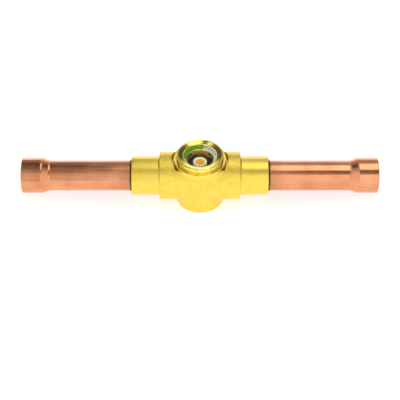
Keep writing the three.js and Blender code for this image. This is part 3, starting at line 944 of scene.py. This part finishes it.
def printed(name, low, high):
    paint = Paint(name, high, 0.0, 0.32)
    paint.colour(paint.tones(paint.noise(1.5, 4), low, high))
    paint.roughness(paint.span(paint.noise(3.0, 2), 0.45, 0.6))
    paint.shader.inputs["Specular IOR Level"].default_value = 0.2
    paint.bump((paint.noise(2.0, 3), 0.2, 0.01))
    return paint.material


def indicator_orange():
    paint = Paint("indicator_orange", (0.9, 0.42, 0.03), 0.0, 0.8)
    fibres = paint.noise(3.0, 5)
    paint.colour(paint.tones(fibres, (0.88, 0.32, 0.002), (0.98, 0.44, 0.012)))
    paint.shader.inputs["Specular IOR Level"].default_value = 0.1
    paint.bump((fibres, 0.5, 0.04))
    return paint.material


def bright_steel():
    paint = Paint("bright_spring_steel", (0.62, 0.62, 0.63), 1.0, 0.25)
    paint.colour(paint.tones(paint.noise(1.5, 3), (0.5, 0.5, 0.51), (0.7, 0.7, 0.71)))
    paint.roughness(paint.span(paint.noise(3.0, 3), 0.2, 0.36))
    paint.bump((paint.noise(5.0, 2), 0.2, 0.01))
    return paint.material


def clear_glass():
    paint = Paint("clear_fused_glass", (0.97, 1.0, 0.98), 0.0, 0.01)
    paint.shader.inputs["Transmission Weight"].default_value = 1.0
    paint.shader.inputs["IOR"].default_value = 1.15
    paint.bump((paint.noise(0.15, 1), 0.05, 0.05))
    return paint.material


FLOOR_GLOW = 0.62


def pale_floor():
    paint = Paint("pale_floor", (0.9, 0.9, 0.9), 0.0, 0.6)
    cloud = paint.noise(0.01, 2)
    paint.colour(paint.tones(cloud, (0.50, 0.50, 0.50), (0.53, 0.53, 0.53)))
    paint.shader.inputs["Emission Color"].default_value = (1, 1, 1, 1)
    paint.shader.inputs["Emission Strength"].default_value = FLOOR_GLOW
    return paint.material


# ---- Putting it together --------------------------------------------------------------------


def finish_piece(piece, body, slot, material, *nodes):
    """Gives a piece its material, its body and the CAD nodes it stands in for. The slot is not used.
    """
    piece.data.materials.clear()
    piece.data.materials.append(material)
    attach(piece, body)
    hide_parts(*nodes)


def dress_body():
    """The forging with its thread: rough outside, turned hubs and spotface, brass darkened inside as
    painted shade.
    """
    body, normals = forged_body()
    materials = (forged_brass(), hub_brass(), chamber_brass())
    turned_face, painted_shade_bore = 1, 2
    centres = np.empty(len(body.data.polygons) * 3)
    body.data.polygons.foreach_get("center", centres)
    centres = centres.reshape(-1, 3) / MM
    from_middle, height = np.abs(centres[:, 0]), centres[:, 2]
    from_window = np.hypot(centres[:, 0], centres[:, 1])
    from_flow = np.hypot(centres[:, 1], height - AXIS_Z)
    base_skin, spotface_low = 3, SEAT_Z - 0.6
    kind = np.zeros(len(centres), int)
    kind[from_middle > FORGED_END] = turned_face
    kind[(height > spotface_low) & (from_window < SPOTFACE_RADIUS + GAP)] = turned_face
    # The chamber, well and tube sockets get the brass darkened as painted shade.
    beside_well = (height > base_skin) & (height < spotface_low)
    kind[beside_well & (from_window < THREAD_CREST + 0.5)] = painted_shade_bore
    kind[from_flow < SOCKET_RADIUS + 0.06] = painted_shade_bore
    body.data.normals_split_custom_set_from_vertices(normals.tolist())
    thread = body_thread()
    for material in materials:
        body.data.materials.append(material)
        thread.data.materials.append(material)
    body.data.polygons.foreach_set("material_index", kind)
    thread.data.polygons.foreach_set("material_index", [painted_shade_bore] * len(thread.data.polygons))
    body = joined("forged_body", [body, thread])
    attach(body, "body")
    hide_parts("valve_body")


def dress_flow_line():
    copper = drawn_copper()
    # The braze colour is darkened nearly to black as painted shade in the crease between tube and
    # hub.
    braze = plain_brass("braze_alloy", (0.10, 0.05, 0.025), (0.24, 0.13, 0.06), 0.5)
    for word, side in (("left", -1), ("right", 1)):
        tube = connecting_tube(f"{word}_copper_tube", side)
        finish_piece(tube, "body", "copper_tube", copper, f"{word}_tube")
        fillet = braze_fillet(f"{word}_braze_line", side)
        finish_piece(fillet, "body", "braze_alloy", braze, f"{word}_braze_fillet")


def dress_window():
    brass = ring_brass()
    finish_piece(window_ring(), "window", "turned_brass", brass, "window_holder")
    seal_sizes = (SEAL_INNER_RADIUS, SEAL_HIGH.x, SEAL_LOW.z, SEAL_HIGH.z)
    washer = flat_ring("seal_washer", *seal_sizes, edge=0.08)
    white = moulded("seal_white", (0.80, 0.79, 0.74), (0.88, 0.87, 0.82), 0.5)
    finish_piece(washer, "seal", "seal_white", white, "holder_seal")
    sleeve_finish = plain_brass("sleeve_metal", (0.86, 0.64, 0.14), (0.96, 0.78, 0.24), 0.45)
    finish_piece(glass_sleeve(), "window", "sleeve_metal", sleeve_finish, "glass_sleeve")
    glass = glass_disc()
    glass.visible_shadow = False
    finish_piece(glass, "window", "window_glass", clear_glass(), "glass_window")
    gasket_sizes = (GASKET_INNER_RADIUS, GASKET_HIGH.x, GASKET_LOW.z, GASKET_HIGH.z)
    gasket = flat_ring("rubber_gasket", *gasket_sizes, edge=0.08)
    rubber = moulded("gasket_black", (0.01, 0.01, 0.01), (0.025, 0.025, 0.025), 0.7)
    finish_piece(gasket, "window", "gasket_black", rubber, "sleeve_gasket")
    finish_piece(circlip(), "window", "spring_steel", bright_steel(), "sleeve_circlip")


def dress_label():
    film = printed("label_white", (0.62, 0.65, 0.50), (0.76, 0.79, 0.64))
    section = cone_band(lift=0.04, thickness=0.14, foot_inset=0.38, brow_inset=0.12)
    base = turned("label_film", section)
    finish_piece(base, "window", "label_white", film, "label_carrier")
    green = printed("label_green", (0.07, 0.18, 0.001), (0.18, 0.36, 0.004))
    sector = label_sector("label_green_sector", GREEN_SECTOR)
    finish_piece(sector, "window", "label_green", green, "label_dry_segment")
    yellow = printed("label_yellow", (0.74, 0.52, 0.02), (0.85, 0.65, 0.05))
    sector = label_sector("label_yellow_sector", YELLOW_SECTOR)
    finish_piece(sector, "window", "label_yellow", yellow, "label_wet_segment")
    marks = label_marks()
    ink = printed("label_ink", (0.06, 0.09, 0.13), (0.12, 0.17, 0.22))
    marks.data.materials.clear()
    marks.data.materials.append(ink)
    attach(marks, "window")


def dress_indicator():
    cream = moulded("indicator_cream", (0.92, 0.86, 0.50), (0.97, 0.92, 0.60), 0.5)
    brass = plain_brass("post_brass", (0.60, 0.40, 0.14), (0.74, 0.52, 0.2), 0.28)
    steel = bright_steel()
    finish_piece(indicator_post(), "body", "turned_brass", brass, "indicator_post")
    washer_sizes = (WASHER_INNER_RADIUS, WASHER_HIGH.x, WASHER_LOW.z, WASHER_HIGH.z)
    washer = flat_ring("seat_washer", *washer_sizes, edge=0.06)
    finish_piece(washer, "body", "spring_steel", steel, "spring_seat_washer")
    finish_piece(indicator_spring(), "body", "spring_steel", steel, "indicator_spring")
    finish_piece(indicator_cup(), "body", "indicator_white", cream, "indicator_cup")
    finish_piece(indicator_paper(), "body", "indicator_orange", indicator_orange(), "indicator_paper")
    finish_piece(paper_retainer(), "body", "indicator_white", cream, "paper_retainer")


# ---- Studio ---------------------------------------------------------------------------------


def studio_floor():
    half = 3000
    corners = [(-half, -half, 0), (half, -half, 0), (half, half, 0), (-half, half, 0)]
    floor = mesh_object("studio_floor", corners, [(0, 1, 2, 3)])
    floor.data.materials.append(pale_floor())


def camera():
    """Looks along +Y and down on the flow line."""
    elevation = math.radians(42.4)
    distance = 500.0
    above_centre = 10.4
    data = bpy.data.cameras.new("camera")
    data.sensor_width = 36
    data.lens = 106.3
    data.clip_start = 0.01
    data.clip_end = 20
    made = bpy.data.objects.new("camera", data)
    bpy.context.scene.collection.objects.link(made)
    subject = Vector((0, 0, AXIS_Z))
    back = Vector((0, -math.cos(elevation), math.sin(elevation)))
    made.location = (subject + back * distance) * MM
    drop = math.atan2(above_centre, distance)
    made.rotation_euler = (math.pi / 2 - elevation - drop, 0, 0)
    bpy.context.scene.camera = made


def side_softbox(side):
    """A weak square light on the left (-1) or the right (1), left out of mirror reflections."""
    place = Vector((side * 0.95, -0.25, 0.5))
    aim = Vector((0, 0, 0.01))
    data = bpy.data.lights.new("side_softbox", "AREA")
    data.size = 0.5
    data.energy = 4
    made = bpy.data.objects.new("side_softbox", data)
    bpy.context.scene.collection.objects.link(made)
    made.location = place
    made.rotation_euler = (aim - place).to_track_quat("-Z", "Y").to_euler()
    made.visible_camera = False
    made.visible_glossy = False


# The studio is made of upright strips side by side. Each is an arc from the front horizon (0
# degrees) over the top (90) to the back horizon (180), with its brightness at some of the angles.
# "core" stands over the body, with "middle" on both sides of it and again beyond "left"; "left"
# and "right" come next, then "flags" on both sides, and "sides" are the outermost.
STUDIO_ARCS = {
    "core": (
        (0, 1.0), (50, 0.9), (66, 0.8), (79, 0.85),
        (88, 1.4), (116, 1.4), (134, 1.25), (158, 1.3),
    ),
    "middle": (
        (0, 1.1), (50, 1.1), (66, 1.0), (79, 0.92),
        (88, 1.3), (116, 1.3), (134, 0.66), (158, 0.6),
    ),
    "left": (
        (0, 0.9), (46, 0.75), (62, 0.5), (77, 0.25), (94, 0.10),
        (100, 0.35), (106, 0.03), (124, 0.03), (142, 0.28),
    ),
    "right": (
        (0, 1.3), (44, 1.3), (54, 0.30), (76, 0.12),
        (86, 1.8), (118, 1.9), (131, 0.5), (158, 0.5),
    ),
    "flags": ((0, 1.2), (60, 1.0), (90, 0.5), (112, 0.08), (165, 0.08), (180, 0.4)),
    "sides": ((0, 0.55), (180, 0.55)),
}
BRIGHTEST = 2.0
BACKDROP = 1.35
BACKDROP_START = 166
# Where one strip gives way to the next: how far a direction of length 1 points sideways.
CORE_EDGE = 0.0235
MIDDLE_EDGE = 0.062
LEFT_EDGE = 0.21
FLAG_EDGE = 0.31
SIDE_EDGE = 0.62


def studio_world():
    """Soft lamps overhead with dark cards beside them, and a bright backdrop low behind."""
    world = bpy.data.worlds.new("studio")
    bpy.context.scene.world = world
    world.use_nodes = True
    tree = world.node_tree
    nodes, links = tree.nodes, tree.links
    nodes.clear()

    def maths(operation, a, b=None):
        made = nodes.new("ShaderNodeMath")
        made.operation = operation
        for socket, value in zip(made.inputs, (a, b)):
            if isinstance(value, (int, float)):
                socket.default_value = value
            elif value:
                links.new(value, socket)
        return made.outputs["Value"]

    place = nodes.new("ShaderNodeTexCoord")
    split = nodes.new("ShaderNodeSeparateXYZ")
    links.new(place.outputs["Generated"], split.inputs["Vector"])
    across, depth, height = split.outputs
    share = maths("DIVIDE", maths("ARCTAN2", height, maths("MULTIPLY", depth, -1)), math.pi)

    def arc(name):
        made = nodes.new("ShaderNodeValToRGB")
        elements = made.color_ramp.elements
        stops = STUDIO_ARCS[name]
        while len(elements) < len(stops):
            elements.new(0.5)
        for element, (degrees, level) in zip(elements, stops):
            element.position = degrees / 180
            scaled = level / BRIGHTEST
            element.color = (scaled, scaled, scaled, 1)
        links.new(share, made.inputs["Fac"])
        return made.outputs["Color"]

    def step_over(value, edge, softness, low, high):
        made = nodes.new("ShaderNodeMapRange")
        made.interpolation_type = "SMOOTHSTEP"
        made.inputs["From Min"].default_value = edge - softness
        made.inputs["From Max"].default_value = edge + softness
        links.new(value, made.inputs["Value"])
        both = nodes.new("ShaderNodeMix")
        both.data_type = "RGBA"
        links.new(made.outputs["Result"], both.inputs["Factor"])
        links.new(low, both.inputs[MIX_A])
        links.new(high, both.inputs[MIX_B])
        return both.outputs[MIX_RESULT]

    sideways = maths("ABSOLUTE", across)
    near = step_over(across, -LEFT_EDGE, 0.02, arc("middle"), arc("left"))
    near = step_over(across, -MIDDLE_EDGE, 0.008, near, arc("middle"))
    near = step_over(across, -CORE_EDGE, 0.003, near, arc("core"))
    near = step_over(across, CORE_EDGE, 0.003, near, arc("middle"))
    near = step_over(across, MIDDLE_EDGE, 0.008, near, arc("right"))
    backdrop = nodes.new("ShaderNodeRGB")
    backdrop.outputs["Color"].default_value = (*[BACKDROP / BRIGHTEST] * 3, 1)
    near = step_over(share, BACKDROP_START / 180, 0.015, near, backdrop.outputs["Color"])
    wide = step_over(sideways, FLAG_EDGE, 0.05, near, arc("flags"))
    wide = step_over(sideways, SIDE_EDGE, 0.08, wide, arc("sides"))
    background = nodes.new("ShaderNodeBackground")
    background.inputs["Strength"].default_value = BRIGHTEST
    links.new(wide, background.inputs["Color"])
    output = nodes.new("ShaderNodeOutputWorld")
    links.new(background.outputs["Background"], output.inputs["Surface"])


def studio():
    studio_floor()
    studio_world()
    for side in (-1, 1):
        side_softbox(side)
    bpy.context.scene.view_settings.view_transform = "Standard"


camera()
dress_body()
dress_flow_line()
dress_window()
dress_label()
dress_indicator()
studio()
